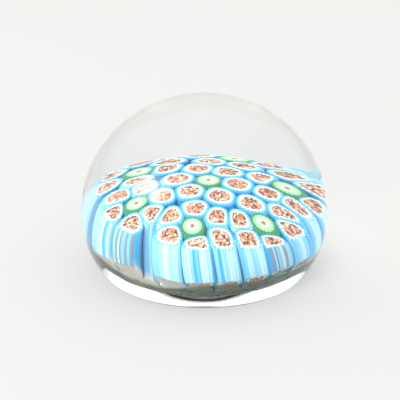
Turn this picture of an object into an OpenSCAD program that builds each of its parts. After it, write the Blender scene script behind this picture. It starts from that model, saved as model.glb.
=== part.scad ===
// Millefiori glass paperweight: a clear crystal cup, seven cane flowers standing in it, and a
// clear dome gathered over them. Millimetres, +Z up, origin at the middle of the resting face.

/* [Crystal body] */
// Widest diameter of the crystal
body_d = 70; // [60:1:84]
// Height of the widest line above the resting face
belt_z = 16.6; // [13:0.2:20]
// Height of the dome above the widest line
dome_rise = 33.7; // [28:0.1:41]
// Depth to which the lower bulge would run if it were not ground flat
bulge_drop = 29.5; // [24:0.1:36]
// Height of the lowest point inside the clear cup that the canes stand in
cup_floor = 2.4; // [1.8:0.1:3]
// Radius of the round inside of the cup
cup_r = 52; // [44:0.5:63]
// How far to the right the ball is set that tucks up the feet of the canes at the left
tuck_right = 7; // [0:0.5:9]
// How far back that ball is set
tuck_back = 2; // [0:0.5:5]
// How much lower than the inside of the cup that ball would reach
tuck_drop = 2.4; // [1.5:0.1:4]
// Width and height of the polished bevel round the resting face
foot_bevel = 0.3; // [0.2:0.1:1]
// Diameter of the polished hollow under the cup
hollow_d = 51; // [40:1:54]
// Depth of the polished hollow under the cup
hollow_depth = 1.2; // [0.4:0.1:1.5]

/* [Cane bed] */
// Height of the cane tops in the middle of the bed
crown_z = 22.4; // [19:0.1:25]
// Radius of the domed surface that the cane tops follow
crown_r = 38; // [32:0.5:60]
// Distance from the bed's middle to the outer edge of the canes, at the height of the crown
rim_r = 20.9; // [20:0.1:26]
// Height above the crown at which the axes of all the canes would meet: they fan out below it
apex_rise = 120; // [90:5:400]
// How far that point is to the left of the bed's middle, which slants the canes
apex_left = 19; // [0:1:40]

/* [Canes] */
// Diameter of a green centre cane
green_d = 5; // [4:0.1:5.4]
// Wall of the dark green casing round it
green_wall = 0.35; // [0.15:0.05:0.7]
// Diameter of the star rod in the middle of a green cane
star_rod_d = 1.1; // [0.6:0.1:1.6]
// Half width that a petal cane reaches where nothing presses on it
petal_half_w = 3.7; // [3:0.1:4.2]
// Clear glass between a green cane and its petals
green_gap = 0.25; // [0.2:0.05:0.6]
// Clear glass between two petals of one flower
petal_gap = 0.15; // [0.1:0.05:0.5]
// Clear glass between two flowers
flower_gap = 0.45; // [0.3:0.05:0.9]
// Part of a petal cane's half width that is inside its blue casing
casing_share = 0.88; // [0.8:0.01:0.92]
// Part of a petal cane's half width that the rose core fills
core_share = 0.66; // [0.45:0.01:0.68]

/* [Hidden] */
// The flowers as the maker laid them: name, place of the green cane, and each petal's direction
// in degrees and distance from the green cane
FLOWERS = [
    ["centre", [0.8, 0.8],
        [[-4, 5.6], [55, 6], [108, 6.4], [167, 6.1], [228, 5.9], [290, 6.6]]],
    ["right", [14.4, 4.9],
        [[-13, 4.1], [72, 6.1], [104, 6.9], [169, 4.2], [247, 5.7], [291, 5.9]]],
    ["back_right", [4.3, 14.9],
        [[-6, 4.9], [50, 4.7], [109, 4.7], [160, 5.9], [228, 5.1], [295, 5]]],
    ["back_left", [-11.5, 10.2],
        [[-18, 4.9], [26, 5.8], [79, 7], [136, 5.3], [191, 5.7], [256, 4.5]]],
    ["left", [-14, -3.6],
        [[-3, 5.4], [71, 5.7], [112, 6.2], [171, 4.4], [253, 5.8], [298, 5.6]]],
    ["front_left", [-3.1, -14.8],
        [[25, 6.2], [80, 5.1], [140, 5.8], [194, 5.1], [279, 4.2], [-24, 6.6]]],
    ["front_right", [11.8, -11],
        [[25, 5.7], [60, 6.7], [116, 5.5], [194, 5], [239, 6.3], [298, 4.1]]],
];
// Middle of the laid bed, which sits a little off the middle of the crystal
BED_MIDDLE = [0.2, 0.4];
PETAL_LAYERS = ["rose_cores", "white_stars", "blue_casings"];
GREEN_LAYERS = ["green_star_rod", "green_body", "green_casing"];

body_r = body_d / 2;
height = belt_z + dome_rise;
green_r = green_d / 2;
green_body_d = green_d - 2 * green_wall;
foot_r = body_r * sqrt(1 - pow(belt_z / bulge_drop, 2));
bulge_end = asin(belt_z / bulge_drop);
foot_r_at_bevel = body_r * sqrt(1 - pow((belt_z - foot_bevel) / bulge_drop, 2));
// Points of a cane's outline, and how squarely its corners are pressed
outline_points = 20;
corner_power = 6;
// Canes further apart than this do not press on each other
pressing_range = 13;
// Steps in the outline of the lower bulge, and degrees between those of the dome
bulge_steps = 12;
dome_step = 3;
// Length that a cane blank has above the crown before it is cut
blank_extra = 6;
// Point that the axes of all the canes come from, seen from above
APEX = BED_MIDDLE - [apex_left, 0];
$fn = 96;

PETALS = [for (f = FLOWERS) [for (p = f[2]) f[1] + p[1] * [cos(p[0]), sin(p[0])]]];
LAST = len(FLOWERS) - 1;

function total(v) = v * [for (x = v) 1];
function bearing(from, to) = atan2(to.y - from.y, to.x - from.x);
function press(t, from, to, room) = pow(max(0, cos(t - bearing(from, to))) / room, corner_power);
function gap_between(f, g) = f == g ? petal_gap : flower_gap;

// How hard the neighbours and the rim press on the petal of flower f at c, in direction t
function petal_press(f, c, t) =
    total([for (g = [0 : LAST], p = PETALS[g])
        let (d = norm(p - c))
        if (d > 0 && d < pressing_range) press(t, c, p, (d - gap_between(f, g)) / 2)])
    + total([for (g = FLOWERS)
        let (d = norm(g[1] - c))
        if (d < pressing_range) press(t, c, g[1], d - green_r - green_gap)])
    + press(t, c, 2 * c - BED_MIDDLE, rim_r - norm(c - BED_MIDDLE))
    + pow(petal_half_w, -corner_power);

// Outline of the petal of flower f at c, drawn in to a share of its half width
function petal_outline(f, c, share) = [for (k = [0 : outline_points - 1])
    let (t = 360 * k / outline_points)
    c + share * pow(petal_press(f, c, t), -1 / corner_power) * [cos(t), sin(t)]];

// Leans the cane at c outward about the height of the crown, so that its axis comes from the apex
module lean(c) {
    out = c - APEX;
    translate([c.x, c.y, crown_z])
        rotate(a = -atan(norm(out) / apex_rise), v = [-out.y, out.x, 0])
            translate([-c.x, -c.y, -crown_z])
                linear_extrude(crown_z + blank_extra)
                    children();
}

// Everything under the domed surface that the cane tops follow
module under_crown() {
    translate([0, 0, crown_z - crown_r])
        sphere(r = crown_r);
}

// Everything above the inside of the cup, whose left side stands higher than the rest
module over_cup() {
    intersection() {
        translate([0, 0, cup_floor + cup_r])
            sphere(r = cup_r);
        translate([tuck_right, tuck_back, cup_floor - tuck_drop + cup_r])
            sphere(r = cup_r);
    }
}

// The six petals of flower f, each from its outer share in to its inner one
module petals(f, outer, inner) {
    for (c = PETALS[f])
        lean(c)
            difference() {
                polygon(petal_outline(f, c, outer));
                if (inner > 0)
                    polygon(petal_outline(f, c, inner));
            }
}

module green_rod(f, outer_d, inner_d) {
    lean(FLOWERS[f][1])
        translate(FLOWERS[f][1])
            difference() {
                circle(d = outer_d);
                if (inner_d > 0)
                    circle(d = inner_d);
            }
}

// Cuts canes to length: feet to the cup, tops to the crown
module cut_to_bed() {
    intersection() {
        under_crown();
        over_cup();
        children();
    }
}

module rose_cores(f) {
    color("lightcoral")
        cut_to_bed()
            petals(f, core_share, 0);
}

module white_stars(f) {
    color("white")
        cut_to_bed()
            petals(f, casing_share, core_share);
}

module blue_casings(f) {
    color("deepskyblue")
        cut_to_bed()
            petals(f, 1, casing_share);
}

module green_star_rod(f) {
    color("saddlebrown")
        cut_to_bed()
            green_rod(f, star_rod_d, 0);
}

module green_body(f) {
    color("lightgreen")
        cut_to_bed()
            green_rod(f, green_body_d, star_rod_d);
}

module green_casing(f) {
    color("seagreen")
        cut_to_bed()
            green_rod(f, green_d, green_body_d);
}

// The whole outside of the weight: ground foot, lower bulge and dome
module body() {
    rotate_extrude()
        polygon(concat(
            [[0, 0], [foot_r - foot_bevel, 0], [foot_r_at_bevel, foot_bevel]],
            [for (k = [1 : bulge_steps])
                let (t = bulge_end * (k / bulge_steps - 1))
                [body_r * cos(t), belt_z + bulge_drop * sin(t)]],
            [for (t = [dome_step : dome_step : 90 - dome_step])
                [body_r * cos(t), belt_z + dome_rise * sin(t)]],
            [[0, height]]));
}

// Clear cup with the ground resting face under it and the canes in it
module crystal_base() {
    hollow_r = (pow(hollow_d / 2, 2) + pow(hollow_depth, 2)) / (2 * hollow_depth);
    color("gainsboro")
        difference() {
            body();
            over_cup();
            translate([0, 0, hollow_depth - hollow_r])
                sphere(r = hollow_r);
        }
}

// Clear gather over the canes, which runs down between and around them into the cup
module crystal_dome() {
    color("ghostwhite")
        difference() {
            intersection() {
                body();
                over_cup();
            }
            for (f = [0 : LAST])
                intersection() {
                    under_crown();
                    union() {
                        petals(f, 1, 0);
                        green_rod(f, green_d, 0);
                    }
                }
        }
}

crystal_base();
crystal_dome();
for (f = [0 : LAST]) {
    name = FLOWERS[f][0];
    rose_cores(f);
    white_stars(f);
    blue_casings(f);
    green_star_rod(f);
    green_body(f);
    green_casing(f);
}
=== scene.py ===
import bpy
import bmesh
import math
import random
import numpy as np
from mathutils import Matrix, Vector, noise
from mathutils.bvhtree import BVHTree


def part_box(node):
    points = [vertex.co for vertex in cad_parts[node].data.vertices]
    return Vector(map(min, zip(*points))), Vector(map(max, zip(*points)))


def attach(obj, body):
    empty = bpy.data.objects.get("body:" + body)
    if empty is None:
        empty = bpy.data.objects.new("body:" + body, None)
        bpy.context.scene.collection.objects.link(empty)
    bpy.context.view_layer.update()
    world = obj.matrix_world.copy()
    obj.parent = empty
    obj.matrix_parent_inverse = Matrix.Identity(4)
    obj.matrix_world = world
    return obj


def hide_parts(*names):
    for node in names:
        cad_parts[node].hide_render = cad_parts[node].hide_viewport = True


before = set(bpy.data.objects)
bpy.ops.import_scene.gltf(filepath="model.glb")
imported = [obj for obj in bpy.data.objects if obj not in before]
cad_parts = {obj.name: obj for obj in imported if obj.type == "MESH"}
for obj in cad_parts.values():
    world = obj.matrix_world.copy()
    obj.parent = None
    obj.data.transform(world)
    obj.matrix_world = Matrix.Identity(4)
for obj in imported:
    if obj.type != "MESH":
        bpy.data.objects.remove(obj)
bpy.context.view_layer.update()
scene = bpy.context.scene

# ---------------------------------------------------------------- camera
# A long lens about forty centimetres off, looking down on the weight a
# little, so that the front of the cane bed shows as well as its crown.
eye_elevation = math.radians(21.5)
eye_distance = 0.4
eye_target = Vector((-0.00122, 0.0, 0.02008))
lens = bpy.data.cameras.new("camera")
lens.lens = 126.9
lens.sensor_width = 36.0
lens.clip_start = 0.01
lens.clip_end = 20.0
camera = bpy.data.objects.new("camera", lens)
scene.collection.objects.link(camera)
toward_eye = Vector((0.0, -math.cos(eye_elevation), math.sin(eye_elevation)))
camera.location = eye_target + eye_distance * toward_eye
camera.rotation_euler = toward_eye.to_track_quat("Z", "Y").to_euler()
scene.camera = camera

# ------------------------------------------------------------- petal canes
# Forty-two drawn glass canes, six round each green one. Each stands in the
# clear cup, leans out a little, and was pressed by its neighbours while soft.
# Their places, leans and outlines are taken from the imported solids.
flowers = sorted(name[:-len("_rose_cores")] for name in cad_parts
                 if name.endswith("_rose_cores"))


def loose_solids(node):
    """The separate solids of a CAD node, as arrays of corners, face normals and areas."""
    mesh = bmesh.new()
    mesh.from_mesh(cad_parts[node].data)
    bmesh.ops.remove_doubles(mesh, verts=mesh.verts, dist=1e-7)
    left = set(mesh.verts)
    solids = []
    while left:
        stack = [left.pop()]
        group = set(stack)
        while stack:
            for edge in stack.pop().link_edges:
                for vert in edge.verts:
                    if vert in left:
                        left.discard(vert)
                        group.add(vert)
                        stack.append(vert)
        faces = {face for vert in group for face in vert.link_faces}
        solids.append({
            "corners": np.array([vert.co[:] for vert in group]),
            "faces": [(np.array(face.normal[:]), face.calc_area(),
                       np.array([vert.co[:] for vert in face.verts])) for face in faces]})
    mesh.free()
    return solids


def cane_line(solid):
    """Foot point at z = 0 and slope of a cane's axis, with its outline round that point."""
    spread = np.zeros((3, 3))
    side_corners = []
    heart = solid["corners"].mean(axis=0)
    for normal, area, corners in solid["faces"]:
        if abs(normal[2]) < 0.3:
            spread += area * np.outer(normal, normal)
            if normal @ (corners.mean(axis=0) - heart) > 0:
                side_corners.append(corners)
    axis = np.linalg.eigh(spread)[1][:, 0]
    slope = axis[:2] / axis[2]
    corners = np.concatenate(side_corners)
    flat = corners[:, :2] - corners[:, 2:] * slope
    middle = (flat.min(axis=0) + flat.max(axis=0)) / 2
    for again in range(3):
        turn = np.arctan2(flat[:, 1] - middle[1], flat[:, 0] - middle[0])
        ring = flat[np.argsort(turn)]
        after = np.roll(ring, -1, axis=0)
        cross = ring[:, 0] * after[:, 1] - after[:, 0] * ring[:, 1]
        area = cross.sum() / 2
        middle = ((ring + after) * cross[:, None]).sum(axis=0) / (6 * area)
    return {"foot": middle, "slope": slope, "ring": ring, "area": area}


def reach(line, middle, turns):
    """Distance from the middle to a cane's outline in each of the directions turns."""
    ring = line["ring"] - middle
    turn = np.arctan2(ring[:, 1], ring[:, 0])
    order = np.argsort(turn)
    turn, ring = turn[order], ring[order]
    keep = np.concatenate([[True], np.diff(turn) > 1e-3])
    turn, dist = turn[keep], np.hypot(ring[keep, 0], ring[keep, 1])
    turn = np.concatenate([turn - math.tau, turn, turn + math.tau])
    dist = np.tile(dist, 3)
    wrapped = (turns + math.pi) % math.tau - math.pi
    # Between corners the outline is straight, so it is 1 / distance that runs as a cosine.
    hit = np.searchsorted(turn, wrapped)
    a, b, ra, rb = turn[hit - 1], turn[hit], dist[hit - 1], dist[hit]
    return (ra * rb * np.sin(b - a)
            / (ra * np.sin(wrapped - a) + rb * np.sin(b - wrapped)))


tops = []
for flower in flowers:
    for solid in loose_solids(flower + "_blue_casings"):
        for normal, area, corners in solid["faces"]:
            if normal[2] > 0.6:
                tops.extend(corners)
tops = np.array(tops)
table = np.column_stack([2 * tops[:, 2], np.ones(len(tops))])
crown_low, rest = np.linalg.lstsq(table, (tops ** 2).sum(axis=1), rcond=None)[0]
crown_r = math.sqrt(rest + crown_low * crown_low)


def crown_height(x, y):
    return crown_low + np.sqrt(crown_r ** 2 - x * x - y * y)


# The cup's inside, felt from above on a fine net, since its side is not one ball or plane.
cup_mesh = bmesh.new()
cup_mesh.from_mesh(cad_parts["crystal_base"].data)
cup_tree = BVHTree.FromBMesh(cup_mesh)
cup_mesh.free()
net_half, net_count = 0.028, 225
net_lines = np.linspace(-net_half, net_half, net_count)
net_step = net_lines[1] - net_lines[0]
cup_net = np.full((net_count, net_count), 0.016)
for row, y in enumerate(net_lines):
    for column, x in enumerate(net_lines):
        touch = cup_tree.ray_cast((x, y, 0.06), (0, 0, -1))[0]
        if touch is not None:
            cup_net[row, column] = touch.z
front_lift = 0.0012


def cup_height(x, y):
    """Height of the feet: on the cup, and a little up where the left flower meets the front."""
    across = np.clip((x + net_half) / net_step, 0, net_count - 1.001)
    along = np.clip((y + net_half) / net_step, 0, net_count - 1.001)
    i, j = across.astype(int), along.astype(int)
    u, v = across - i, along - j
    level = ((1 - u) * (1 - v) * cup_net[j, i] + u * (1 - v) * cup_net[j, i + 1]
             + (1 - u) * v * cup_net[j + 1, i] + u * v * cup_net[j + 1, i + 1])
    off = ((x + 0.0165) ** 2 + (y + 0.0175) ** 2) / 0.0055 ** 2
    return level + front_lift * np.exp(-off)


petals = {}
for flower in flowers:
    cores = [cane_line(solid) for solid in loose_solids(flower + "_rose_cores")]
    casings = [cane_line(solid) for solid in loose_solids(flower + "_blue_casings")]
    petals[flower] = []
    for core in cores:
        near = min(casings, key=lambda c: np.hypot(*(c["foot"] - core["foot"])))
        share = math.sqrt(core["area"] / near["area"])
        middle = core["foot"] - share * (near["foot"] - core["foot"]) / (1 - share)
        petals[flower].append({"middle": middle, "slope": core["slope"],
                               "outline": near, "core_share": share})
    centre = np.mean([cane["middle"] for cane in petals[flower]], axis=0)
    petals[flower].sort(key=lambda c: math.atan2(*(c["middle"] - centre)))
bed_middle = np.mean([c["middle"] for f in flowers for c in petals[f]], axis=0)

# How the soft canes gave way: stouter feet, a swollen waist, a flared skirt and a tucked foot.
foot_spread = 0.07
waist_swell = 0.05
skirt_flare = 0.075
foot_tuck = 0.03


def cane_points(cane, x, y, rise, proud=0.0):
    """Points of a cane at the offsets x, y from its axis: rise 0 is the foot, 1 the top."""
    def place(z, rise):
        axis = cane["middle"] + np.multiply.outer(z, cane["slope"]) - bed_middle
        # The bed was pressed down while soft, so each cane is stouter and further out below.
        stout = 1 + foot_spread * (1 - rise) ** 0.7 + waist_swell * np.sin(math.pi * rise)
        out = 1 + skirt_flare * (1 - rise) ** 0.5 - foot_tuck * (1 - rise) ** 3
        offset = np.stack([x, y], axis=-1)
        at = bed_middle + axis * np.expand_dims(out, -1) + offset * np.expand_dims(stout, -1)
        return at[..., 0], at[..., 1]
    x, y, rise = np.broadcast_arrays(np.asarray(x, float), y, rise)
    low, high = np.full(x.shape, 0.009), np.full(x.shape, 0.017)
    for again in range(6):
        low = cup_height(*place(low, np.zeros(x.shape))) - proud
        high = crown_height(*place(high, np.ones(x.shape))) + proud
    z = low + (high - low) * rise
    across, along = place(z, rise)
    return np.stack([across, along, z], axis=-1)


def cane_rises(cane):
    """Where the rings of a cane's skin lie: evenly up it, then close together at its top."""
    length = float(cane_points(cane, 0.0, 0.0, 1.0)[2] - cane_points(cane, 0.0, 0.0, 0.0)[2])
    shoulder = 1 - 0.0007 / length
    return [shoulder * k / 7 for k in range(8)] + [1 - 0.00025 / length, 1.0]


for flower in flowers:
    for cane in petals[flower]:
        cane["rises"] = cane_rises(cane)


# ------------------------------------------------------------- rose cores
# The heart of each petal cane: some fifty hair-thin rods of rose, salmon,
# brown and pinkish-white glass, fused in a dark brown matrix and drawn out.
rod_pitch = 0.00046
rod_width = 0.00041
core_spread = 1.12
rose_palette = [
    ((0.66, 0.32, 0.22), 5), ((0.78, 0.46, 0.30), 5), ((0.44, 0.15, 0.11), 4),
    ((0.15, 0.065, 0.04), 6), ((0.55, 0.38, 0.16), 3), ((0.90, 0.74, 0.64), 5),
    ((0.76, 0.28, 0.28), 3)]
matrix_brown = (0.26, 0.11, 0.07)
# Painted shade for the underside of the bed: a dull grey-green where little light reaches the feet,
# mottled with olive and teal as painted reflection.
shade_grey = np.array((0.17, 0.21, 0.155))
shade_teal = np.array((0.09, 0.16, 0.17))
shade_olive = np.array((0.33, 0.33, 0.17))
# Painted light: a light beige for the left front of the bed's underside, as if lit from the left
# and below.
lit_beige = np.array((0.82, 0.80, 0.72))
underside_shade_r = 0.0221
underside_shade_fade = 0.0008
underside_shade_share = 0.92


def paint_underside_shade(verts, tints):
    """Tints with the feet under the bed given a dull grey-green painted shade, mottled olive and
    teal as painted reflection, and a light beige painted light at the left front.
    """
    at = np.array(verts)
    low = np.clip(1.2 - (at[:, 2] - cup_height(at[:, 0], at[:, 1])) / 0.001, 0, 1)
    share = low * np.clip((underside_shade_r - np.hypot(at[:, 0], at[:, 1])) / underside_shade_fade, 0, 1)
    # A noise cloud mixes the olive and teal painted reflection into the grey painted shade.
    cloud = np.array([noise.noise(Vector((90 * x, 260 * y, 4.0))) for x, y in at[:, :2]])[:, None]
    shade_tint = shade_grey + (shade_olive - shade_grey) * np.clip(2.5 * cloud - 0.2, 0, 1)
    shade_tint = shade_tint + (shade_teal - shade_tint) * np.clip(-2.5 * cloud - 0.2, 0, 1)
    # Painted light: the left front feet under the bed are painted light beige instead of the grey
    # painted shade.
    left_front = np.clip((-0.75 * at[:, 0] - 0.66 * at[:, 1] - 0.0145) / 0.002, 0, 1)[:, None]
    shade_tint = shade_tint + (lit_beige - shade_tint) * left_front
    return tints + (shade_tint - tints) * (underside_shade_share * share)[:, None]


def glass_piece(name, verts, faces, tints):
    """A piece of coloured glass with a tint at each corner of its mesh."""
    # The feet under the bed get their painted shade and painted reflection here.
    tints = paint_underside_shade(verts, np.array(tints))
    mesh = bpy.data.meshes.new(name)
    mesh.from_pydata([tuple(v) for v in verts], [], faces)
    mesh.update()
    layer = mesh.color_attributes.new(name="tint", type="FLOAT_COLOR", domain="POINT")
    rgba = np.ones((len(verts), 4), dtype=np.float32)
    rgba[:, :3] = np.clip(tints, 0, 1)
    layer.data.foreach_set("color", rgba.ravel())
    piece = bpy.data.objects.new(name, mesh)
    scene.collection.objects.link(piece)
    return piece


def drawn_glass(name, roughness, streak, grain):
    """Drawn cane glass: its own tint, faint streaks along the draw and a satin skin."""
    glass = bpy.data.materials.new(name)
    glass.use_nodes = True
    nodes, links = glass.node_tree.nodes, glass.node_tree.links
    shader = nodes["Principled BSDF"]
    shader.inputs["IOR"].default_value = 1.5
    shader.inputs["Specular IOR Level"].default_value = 0.12
    tint = nodes.new("ShaderNodeAttribute")
    tint.attribute_name = "tint"
    place = nodes.new("ShaderNodeTexCoord")
    stretch = nodes.new("ShaderNodeMapping")
    stretch.inputs["Scale"].default_value = (1.0, 1.0, 0.15)
    links.new(place.outputs["Object"], stretch.inputs["Vector"])
    fibre = nodes.new("ShaderNodeTexNoise")
    fibre.inputs["Scale"].default_value = grain
    fibre.inputs["Detail"].default_value = 3.0
    links.new(stretch.outputs["Vector"], fibre.inputs["Vector"])
    shade = nodes.new("ShaderNodeMapRange")
    shade.inputs["To Min"].default_value = 1 - streak
    shade.inputs["To Max"].default_value = 1 + streak
    links.new(fibre.outputs["Fac"], shade.inputs["Value"])
    mix = nodes.new("ShaderNodeMix")
    mix.data_type = "RGBA"
    mix.blend_type = "MULTIPLY"
    mix.inputs[0].default_value = 1.0
    links.new(tint.outputs["Color"], mix.inputs[6])
    links.new(shade.outputs["Result"], mix.inputs[7])
    links.new(mix.outputs[2], shader.inputs["Base Color"])
    skin = nodes.new("ShaderNodeMapRange")
    skin.inputs["To Min"].default_value = roughness - 0.08
    skin.inputs["To Max"].default_value = roughness + 0.08
    links.new(fibre.outputs["Fac"], skin.inputs["Value"])
    links.new(skin.outputs["Result"], shader.inputs["Roughness"])
    bump = nodes.new("ShaderNodeBump")
    bump.inputs["Strength"].default_value = 0.25
    bump.inputs["Distance"].default_value = 0.00003
    links.new(fibre.outputs["Fac"], bump.inputs["Height"])
    links.new(bump.outputs["Normal"], shader.inputs["Normal"])
    return glass


def ring_turns(count):
    return np.arange(count) * math.tau / count


def prism(cane, dist, turns, levels, proud=0.0):
    """Rings of points up a cane whose outline is dist from its axis in the directions turns."""
    rings = []
    for rise in levels:
        rings.append(cane_points(cane, dist * np.cos(turns), dist * np.sin(turns), rise, proud))
    return rings


def add_solid(verts, faces, rings):
    """Joins rings of points into a closed solid with flat ends."""
    count, start = len(rings[0]), len(verts)
    for ring in rings:
        verts.extend(ring)
    for k in range(len(rings) - 1):
        a, b = start + k * count, start + (k + 1) * count
        faces.extend((a + i, a + (i + 1) % count, b + (i + 1) % count, b + i)
                     for i in range(count))
    faces.append(tuple(start + i for i in reversed(range(count))))
    faces.append(tuple(start + (len(rings) - 1) * count + i for i in range(count)))


rose_glass = drawn_glass("rose_glass", 0.38, 0.12, 5000)
for number, flower in enumerate(flowers):
    chance = random.Random(100 + number)
    verts, faces, tints = [], [], []
    for cane in petals[flower]:
        turns = ring_turns(48)
        edge = reach(cane["outline"], cane["middle"], turns) * cane["core_share"] * core_spread
        add_solid(verts, faces, prism(cane, edge, turns, (0.0, 1.0), -0.00002))
        tints += [matrix_brown] * (len(verts) - len(tints))
        tilt, phase = chance.uniform(0, math.pi), chance.uniform(0, math.tau)
        bag = [colour for colour, share in rose_palette for k in range(share)]
        for row in range(-8, 9):
            for column in range(-8, 9):
                u = rod_pitch * (column + row / 2 + chance.uniform(-0.08, 0.08))
                v = rod_pitch * (row * math.sqrt(0.75) + chance.uniform(-0.08, 0.08))
                x = u * math.cos(tilt) - v * math.sin(tilt)
                y = u * math.sin(tilt) + v * math.cos(tilt)
                room = np.interp(math.atan2(y, x) % math.tau, turns, edge, period=math.tau)
                if math.hypot(x, y) > room - 0.0001:
                    continue
                colour = np.array(chance.choice(bag)) * chance.uniform(0.85, 1.15)
                corner = ring_turns(6) + tilt + math.pi / 6
                size = rod_width / 2 * chance.uniform(0.9, 1.12) / math.cos(math.pi / 6)
                lift = chance.uniform(0.0, 0.00002)
                rod = [cane_points(cane, x + size * k * np.cos(corner),
                                   y + size * k * np.sin(corner), rise, lift)
                       for rise, k in ((0.0, 0.92), (0.01, 1.0), (0.99, 1.0), (1.0, 0.92))]
                add_solid(verts, faces, rod)
                tints += [colour] * (len(verts) - len(tints))
    piece = glass_piece("rose_cores_" + flower, verts, faces, tints)
    piece.data.materials.append(rose_glass)
    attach(piece, "root")
    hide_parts(flower + "_rose_cores")

# ------------------------------------------------------------- white stars
# A layer of opaque white glass round each core, gathered in a ribbed mould,
# so that its outer edge is a ring of small teeth.
star_teeth = 21
star_reach = 0.945
tooth_depth = 0.16
star_points = 200


def notches(turns, count, phase):
    """Narrow notches between the round teeth of a ring: 1 in a notch, 0 on a tooth."""
    return (0.5 - 0.5 * np.cos(count * turns + phase)) ** 1.2


def add_ring(verts, faces, outer, inner):
    """Joins rings up the outside and down the inside of a tube into one closed skin."""
    rings = outer + inner[::-1]
    count, start = len(rings[0]), len(verts)
    for ring in rings:
        verts.extend(ring)
    for k in range(len(rings)):
        a, b = start + k * count, start + (k + 1) % len(rings) * count
        faces.extend((a + i, a + (i + 1) % count, b + (i + 1) % count, b + i)
                     for i in range(count))
    return rings


white_glass = drawn_glass("white_glass", 0.34, 0.03, 3000)
for number, flower in enumerate(flowers):
    chance = random.Random(200 + number)
    verts, faces, tints = [], [], []
    for cane in petals[flower]:
        turns = ring_turns(star_points)
        full = reach(cane["outline"], cane["middle"], turns)
        cane["tooth_phase"] = chance.uniform(0, math.tau)
        notch = notches(turns, star_teeth, cane["tooth_phase"])
        wander = np.array([noise.noise(Vector((3 * math.cos(t), 3 * math.sin(t),
                                               7.0 * len(verts)))) for t in turns])
        cane["star_edge"] = full * (star_reach - tooth_depth * notch + 0.012 * wander)
        bite = np.array([noise.noise(Vector((6 * math.cos(t), 6 * math.sin(t),
                                             3.0 + len(verts)))) for t in turns])
        hole = full * cane["core_share"] * core_spread * (0.97 + 0.16 * bite)
        outer = prism(cane, cane["star_edge"], turns, cane["rises"], 0.00001)
        lip = prism(cane, cane["star_edge"] - 0.0001, turns, (1.0,), 0.00004)
        inner = prism(cane, hole, turns, (0.0, 1.0), 0.00003)
        rings = add_ring(verts, faces, outer + lip, inner)
        milk = np.array([(0.90, 0.93, 0.92)] * len(turns))
        blue = np.array([(0.20, 0.64, 0.90)] * len(turns))
        for k, ring in enumerate(rings):
            fade = 0.7 * (k < len(outer)) * notch[:, None]
            tints.extend(milk * (1 - fade) + blue * fade)
    piece = glass_piece("white_stars_" + flower, verts, faces, tints)
    piece.data.materials.append(white_glass)
    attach(piece, "root")
    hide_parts(flower + "_white_stars")

# ------------------------------------------------------------ blue casings
# Transparent blue over white, picked up in stripes, so a casing runs from
# white through pale cyan to deep azure round its girth. Round the edge of
# the bed the casings stand open to view as a pleated skirt.
pale_cyan = np.array((0.52, 0.93, 1.0))
azure = np.array((0.06, 0.50, 0.97))
milky = np.array((0.82, 0.96, 0.98))
smoke = np.array((0.26, 0.22, 0.30))
crown_cyan = np.array((0.22, 0.72, 0.96))
crown_edge = np.array((0.08, 0.50, 0.88))
# Painted shade: a dark blue for casing walls standing in the narrow gaps between canes.
gap_shade_blue = np.array((0.03, 0.29, 0.62))
casing_ribs = 28
casing_points = 224
smoky_tops = ((-0.0157, -0.0091), (0.0137, -0.0146))
fused_swell = 0.00042
blue_glass = drawn_glass("blue_glass", 0.32, 0.05, 2500)
for number, flower in enumerate(flowers):
    chance = random.Random(300 + number)
    verts, faces, tints = [], [], []
    for cane in petals[flower]:
        turns = ring_turns(casing_points)
        full = reach(cane["outline"], cane["middle"], turns)
        seed = chance.uniform(0, 900)
        phase = chance.uniform(0, 1)
        rib = turns / math.tau * casing_ribs + phase
        groove = 1 - np.abs(np.sin(math.pi * rib))

        def wave(spacing, shift):
            whole = (np.floor(rib) + 0.5 - phase) / casing_ribs * math.tau
            return np.array([noise.noise(Vector((spacing * math.cos(t), spacing * math.sin(t),
                                                 seed + shift))) for t in whole])
        # The flanks that face a neighbour fused with it just under the crown.
        out = cane["middle"] - bed_middle
        away = np.cos(turns - math.atan2(out[1], out[0]))
        # Painted shade mask: inner canes and the inward flanks of outer canes are painted dark blue
        # for the shade in the gaps between canes; only the outward flanks of the skirt keep their
        # stripes.
        open_lit_share = (np.clip((np.hypot(*out) - 0.0125) / 0.004, 0, 1)
                 * np.clip(0.35 + 1.5 * away, 0, 1))
        flank = np.clip(1.15 - away, 0, 1) if np.hypot(*out) > 0.0145 else 1.0
        outer = []
        for rise in cane["rises"]:
            swell = flank * (0.00012 if rise == 1.0 else fused_swell)
            outer += prism(cane, full * (1.012 - 0.012 * groove) + swell, turns, (rise,))
        inner = prism(cane, cane["star_edge"] * 0.97, ring_turns(star_points), cane["rises"])
        inner = [np.array([np.interp(turns, ring_turns(star_points), ring[:, axis], period=math.tau)
                           for axis in range(3)]).T for ring in inner]
        rings = add_ring(verts, faces, outer, inner)
        depth = np.clip(0.42 + 1.3 * wave(1.6, 0) + 0.8 * wave(9, 50), 0, 1)
        white = np.clip(0.9 * wave(2.5, 90) + 1.1 * wave(11, 70), 0, 1)
        top = cane["middle"] + cane["slope"] * 0.02
        smoky = min(np.hypot(*(top - spot)) for spot in smoky_tops) < 0.0015
        dark = 0.8 * smoky * np.isin(np.floor(rib) % 5, (1, 4))
        colour = pale_cyan + (azure - pale_cyan) * (depth ** 1.4)[:, None]
        colour = colour + (milky - colour) * (white * (1 - depth))[:, None]
        colour = colour + (azure * 0.8 - colour) * (0.55 * groove ** 3)[:, None]
        colour = colour + (smoke - colour) * dark[:, None]
        for k, ring in enumerate(rings):
            # Painted shade: dark blue where the casing stands in the gaps between its neighbours.
            body = colour * open_lit_share[:, None] + gap_shade_blue * (1 - open_lit_share[:, None])
            if k == len(outer) - 1:
                body = body * 0.3 + crown_edge * 0.7
            elif k == len(outer):
                body = np.array([crown_cyan] * len(turns))
            tints.extend(body)
    piece = glass_piece("blue_casings_" + flower, verts, faces, tints)
    piece.data.materials.append(blue_glass)
    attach(piece, "root")
    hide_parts(flower + "_blue_casings")

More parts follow.
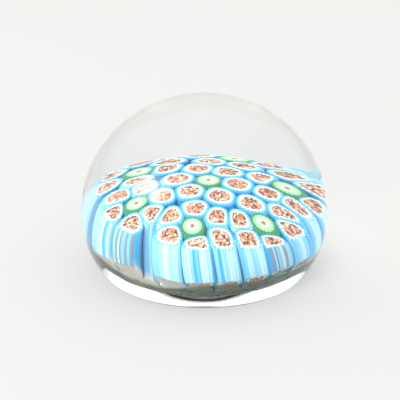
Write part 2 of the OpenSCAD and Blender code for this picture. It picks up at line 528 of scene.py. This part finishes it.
# ------------------------------------------------------------- green canes
# One round cane in the middle of each flower: a thin pink and brown star rod,
# a pale mint body with a ribbed edge, and a bottle-green casing.
mint = np.array((0.66, 0.88, 0.62))
leaf = np.array((0.22, 0.66, 0.33))
bottle = np.array((0.02, 0.34, 0.17))
green_ribs = 20
green_spokes = 13
green_points = 144
green_glass = drawn_glass("green_glass", 0.34, 0.08, 3000)
mint_glass = drawn_glass("mint_glass", 0.34, 0.06, 3000)
rod_glass = drawn_glass("rod_glass", 0.36, 0.10, 6000)
for number, flower in enumerate(flowers):
    chance = random.Random(400 + number)
    line = cane_line(loose_solids(flower + "_green_casing")[0])
    body_line = cane_line(loose_solids(flower + "_green_body")[0])
    rod_line = cane_line(loose_solids(flower + "_green_star_rod")[0])
    turns = ring_turns(green_points)
    cane = {"middle": rod_line["foot"], "slope": rod_line["slope"]}
    rises = cane_rises(cane)

    def girth(solid_line):
        return float(np.hypot(*(solid_line["ring"] - rod_line["foot"]).T).max())
    casing_r, body_r, rod_r = girth(line), girth(body_line), girth(rod_line)
    phase = chance.uniform(0, math.tau)
    rib = 0.5 + 0.5 * np.cos(green_ribs * turns + phase)
    body_edge = body_r * (1 - 0.05 * (1 - rib) ** 2)

    verts, faces, tints = [], [], []
    outer = prism(cane, casing_r * (1 - 0.02 * (1 - rib)) + fused_swell, turns,
                  rises[:-2])
    outer += prism(cane, np.full(green_points, casing_r + 0.0001), turns, (1.0,))
    rings = add_ring(verts, faces, outer,
                     prism(cane, body_edge * 0.985, turns, (0.0, 1.0)))
    for k, ring in enumerate(rings):
        tints.extend(bottle * 0.6 + (leaf - bottle) * (0.15 + 0.25 * rib[:, None]))
    piece = glass_piece("green_casing_" + flower, verts, faces, tints)
    piece.data.materials.append(green_glass)
    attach(piece, "root")
    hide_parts(flower + "_green_casing")

    verts, faces, tints = [], [], []
    outer = prism(cane, body_edge, turns, (0.0, 1.0), 0.00001)
    for share, lift in ((0.93, 0.00005), (0.78, 0.00006), (0.55, 0.00005)):
        outer += prism(cane, body_edge * share, turns, (1.0,), lift)
    rings = add_ring(verts, faces, outer,
                     prism(cane, np.full(green_points, rod_r * 0.97), turns, (0.0, 1.0), 0.00002))
    spoke = 0.5 + 0.5 * np.cos(green_spokes * turns + phase)
    for k, ring in enumerate(rings):
        inward = (1.0, 1.0, 0.85, 0.5, 0.2, 0.05, 0.0)[k]
        mixed = mint + (leaf - mint) * (inward * (1 - 0.3 * rib))[:, None]
        dim = (1 - 0.25 * (2 <= k <= 3) * np.clip(spoke - 0.6, 0, 1) / 0.4)[:, None]
        tints.extend(mixed * dim)
    piece = glass_piece("green_body_" + flower, verts, faces, tints)
    piece.data.materials.append(mint_glass)
    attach(piece, "root")
    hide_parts(flower + "_green_body")

    verts, faces, tints = [], [], []
    turns = ring_turns(72)
    point = 0.5 + 0.5 * np.cos(6 * turns + phase)
    add_solid(verts, faces, prism(cane, rod_r * (0.82 + 0.2 * point), turns, (0.0, 1.0), 0.00006))
    tints += [(0.55, 0.34, 0.28)] * (len(verts) - len(tints))
    add_solid(verts, faces, prism(cane, rod_r * (0.30 + 0.18 * point), turns,
                                  (0.0, 1.0), 0.00008))
    tints += [(0.24, 0.10, 0.07)] * (len(verts) - len(tints))
    piece = glass_piece("star_rod_" + flower, verts, faces, tints)
    piece.data.materials.append(rod_glass)
    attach(piece, "root")
    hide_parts(flower + "_green_star_rod")

# ----------------------------------------------------------------- crystal
# The clear gathers, fused into one piece: a low dome over the canes and a
# lower bulge drawn in to a ground and polished foot with a shallow hollow.
above_bevel = 0.0004
outside = []
for node in ("crystal_base", "crystal_dome"):
    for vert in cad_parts[node].data.vertices:
        outside.append((math.hypot(vert.co.x, vert.co.y), vert.co.z))
outside = np.array(outside)
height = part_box("crystal_dome")[1][2]
widest = outside[:, 0].max()
belt = outside[outside[:, 0] > widest - 1e-6, 1].mean()
flat = outside[outside[:, 1] < 1e-6, 0]
foot_r, hollow_r = flat.max(), flat.min()
hollow_deep = outside[outside[:, 0] < 0.001, 1].min()


def skin_curve(points):
    """Depth of the half spheroid through some points of the crystal's outside."""
    across = 1 - (points[:, 0] / widest) ** 2
    return math.sqrt(((points[:, 1] - belt) ** 2).sum() / across.sum())


lower = np.array([p for p in outside if above_bevel < p[1] < 0.009 and p[0] > 0.0285])
bulge = skin_curve(lower)
start = math.asin(belt / bulge)
profile = [(0.0, hollow_deep)]
for i in range(1, 33):
    r = hollow_r * i / 32
    profile.append((r, hollow_deep * (1 - (i / 32) ** 2)))
for r in np.linspace(hollow_r, foot_r, 5)[1:]:
    profile.append((float(r), 0.0))
for i in range(0, 60):
    t = start * (i / 60 - 1)
    z = belt + bulge * math.sin(t)
    if z > above_bevel:
        profile.append((widest * math.cos(t), z))
for i in range(0, 121):
    t = math.radians(90 * i / 120)
    profile.append((widest * math.cos(t), belt + (height - belt) * math.sin(t)))
profile[-1] = (0.0, height)
steps = 256
verts = [(0.0, 0.0, profile[0][1])]
for r, z in profile[1:-1]:
    verts.extend((r * math.cos(math.tau * k / steps), r * math.sin(math.tau * k / steps), z)
                 for k in range(steps))
verts.append((0.0, 0.0, height))
faces = [(0, 1 + (k + 1) % steps, 1 + k) for k in range(steps)]
for j in range(len(profile) - 3):
    a, b = 1 + j * steps, 1 + (j + 1) * steps
    faces.extend((a + k, a + (k + 1) % steps, b + (k + 1) % steps, b + k)
                 for k in range(steps))
last = len(verts) - 1
a = last - steps
faces.extend((a + k, a + (k + 1) % steps, last) for k in range(steps))
mesh = bpy.data.meshes.new("crystal")
mesh.from_pydata(verts, [], faces)
for face in mesh.polygons:
    face.use_smooth = True
mesh.set_sharp_from_angle(angle=math.radians(25))
crystal = bpy.data.objects.new("crystal", mesh)
scene.collection.objects.link(crystal)
clear = bpy.data.materials.new("clear_crystal")
clear.use_nodes = True
nodes, links = clear.node_tree.nodes, clear.node_tree.links
shader = nodes["Principled BSDF"]
shader.inputs["Transmission Weight"].default_value = 1.0
shader.inputs["IOR"].default_value = 1.5
place = nodes.new("ShaderNodeTexCoord")
cords = nodes.new("ShaderNodeTexNoise")
cords.inputs["Scale"].default_value = 60.0
cords.inputs["Detail"].default_value = 2.0
links.new(place.outputs["Object"], cords.inputs["Vector"])
polish = nodes.new("ShaderNodeMapRange")
polish.inputs["From Min"].default_value = 0.5
polish.inputs["From Max"].default_value = 0.9
polish.inputs["To Min"].default_value = 0.0
polish.inputs["To Max"].default_value = 0.02
links.new(cords.outputs["Fac"], polish.inputs["Value"])
links.new(polish.outputs["Result"], shader.inputs["Roughness"])
colour = nodes.new("ShaderNodeMix")
colour.data_type = "RGBA"
colour.inputs[6].default_value = (0.945, 0.955, 0.93, 1)
colour.inputs[7].default_value = (0.965, 0.972, 0.955, 1)
links.new(cords.outputs["Fac"], colour.inputs[0])
links.new(colour.outputs[2], shader.inputs["Base Color"])
bump = nodes.new("ShaderNodeBump")
bump.inputs["Strength"].default_value = 0.15
bump.inputs["Distance"].default_value = 0.0002
links.new(cords.outputs["Fac"], bump.inputs["Height"])
links.new(bump.outputs["Normal"], shader.inputs["Normal"])
mesh.materials.append(clear)
# The hollow and the ring it rests on are ground, and polished only to a satin.
ground = clear.copy()
ground.name = "ground_crystal"
nodes, links = ground.node_tree.nodes, ground.node_tree.links
for node in nodes:
    if node.type == "MAP_RANGE":
        node.inputs["To Min"].default_value = 0.22
        node.inputs["To Max"].default_value = 0.34
mesh.materials.append(ground)
for face in mesh.polygons:
    if face.center.z < hollow_deep + 1e-5 and math.hypot(face.center.x, face.center.y) < foot_r:
        face.material_index = 1
# Light reaches the canes and the board through the crystal.
crystal.visible_shadow = False
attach(crystal, "root")
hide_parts("crystal_base", "crystal_dome")

# ------------------------------------------------------------------ studio
# A sheet of matt white board under the weight that glows a little as painted light, an even white
# room, and one wide softbox to the left and a little behind the eye.
mesh = bpy.data.meshes.new("board")
sheet = bmesh.new()
bmesh.ops.create_grid(sheet, x_segments=8, y_segments=8, size=4.0)
sheet.to_mesh(mesh)
sheet.free()
board = bpy.data.objects.new("board", mesh)
board.location.z = -0.0001
scene.collection.objects.link(board)
glowing_paper = bpy.data.materials.new("glowing_board")
glowing_paper.use_nodes = True
shader = glowing_paper.node_tree.nodes["Principled BSDF"]
shader.inputs["Base Color"].default_value = (0.31, 0.308, 0.304, 1)
# Painted light: the board glows though it is no lamp, lightening the shadows round the weight and
# lighting its underside.
shader.inputs["Emission Color"].default_value = (1.0, 0.995, 0.985, 1)
shader.inputs["Emission Strength"].default_value = 0.34
shader.inputs["Roughness"].default_value = 0.9
shader.inputs["Specular IOR Level"].default_value = 0.1
mesh.materials.append(glowing_paper)

softbox_turn = math.radians(-119)
softbox_rise = math.radians(35)
softbox = bpy.data.lights.new("softbox", "AREA")
softbox.shape = "RECTANGLE"
softbox.size = 0.85
softbox.size_y = 0.55
softbox.energy = 16.0
softbox_object = bpy.data.objects.new("softbox", softbox)
toward_box = Vector((math.sin(softbox_turn) * math.cos(softbox_rise),
                     math.cos(softbox_turn) * math.cos(softbox_rise),
                     math.sin(softbox_rise)))
softbox_object.location = 1.1 * toward_box + Vector((0, 0, 0.02))
softbox_object.rotation_euler = toward_box.to_track_quat("Z", "Y").to_euler()
scene.collection.objects.link(softbox_object)
# Its cloth is brightest in the middle and fades out toward the rim.
softbox.use_nodes = True
nodes, links = softbox.node_tree.nodes, softbox.node_tree.links
cloth = nodes.new("ShaderNodeNewGeometry")
part = nodes.new("ShaderNodeSeparateXYZ")
links.new(cloth.outputs["Parametric"], part.inputs["Vector"])
fades = []
for side in ("X", "Y"):
    rim = nodes.new("ShaderNodeMath")
    rim.operation = "PINGPONG"
    rim.inputs[1].default_value = 0.5
    links.new(part.outputs[side], rim.inputs[0])
    fade = nodes.new("ShaderNodeMapRange")
    fade.interpolation_type = "SMOOTHSTEP"
    fade.inputs["From Min"].default_value = 0.0
    fade.inputs["From Max"].default_value = 0.4
    links.new(rim.outputs[0], fade.inputs["Value"])
    fades.append(fade)
glow = nodes.new("ShaderNodeMath")
glow.operation = "MULTIPLY"
links.new(fades[0].outputs["Result"], glow.inputs[0])
links.new(fades[1].outputs["Result"], glow.inputs[1])
links.new(glow.outputs[0], nodes["Emission"].inputs["Strength"])

room = bpy.data.worlds.new("room")
scene.world = room
room.use_nodes = True
nodes, links = room.node_tree.nodes, room.node_tree.links
nodes["Background"].inputs["Color"].default_value = (1.0, 0.995, 0.985, 1)
sky = nodes.new("ShaderNodeTexCoord")
part = nodes.new("ShaderNodeSeparateXYZ")
links.new(sky.outputs["Generated"], part.inputs["Vector"])
paling = nodes.new("ShaderNodeMapRange")
paling.inputs["From Min"].default_value = 0.0
paling.inputs["From Max"].default_value = 1.0
paling.inputs["To Min"].default_value = 0.85
paling.inputs["To Max"].default_value = 1.95
links.new(part.outputs["Z"], paling.inputs["Value"])
links.new(paling.outputs["Result"], nodes["Background"].inputs["Strength"])
scene.view_settings.view_transform = "Standard"
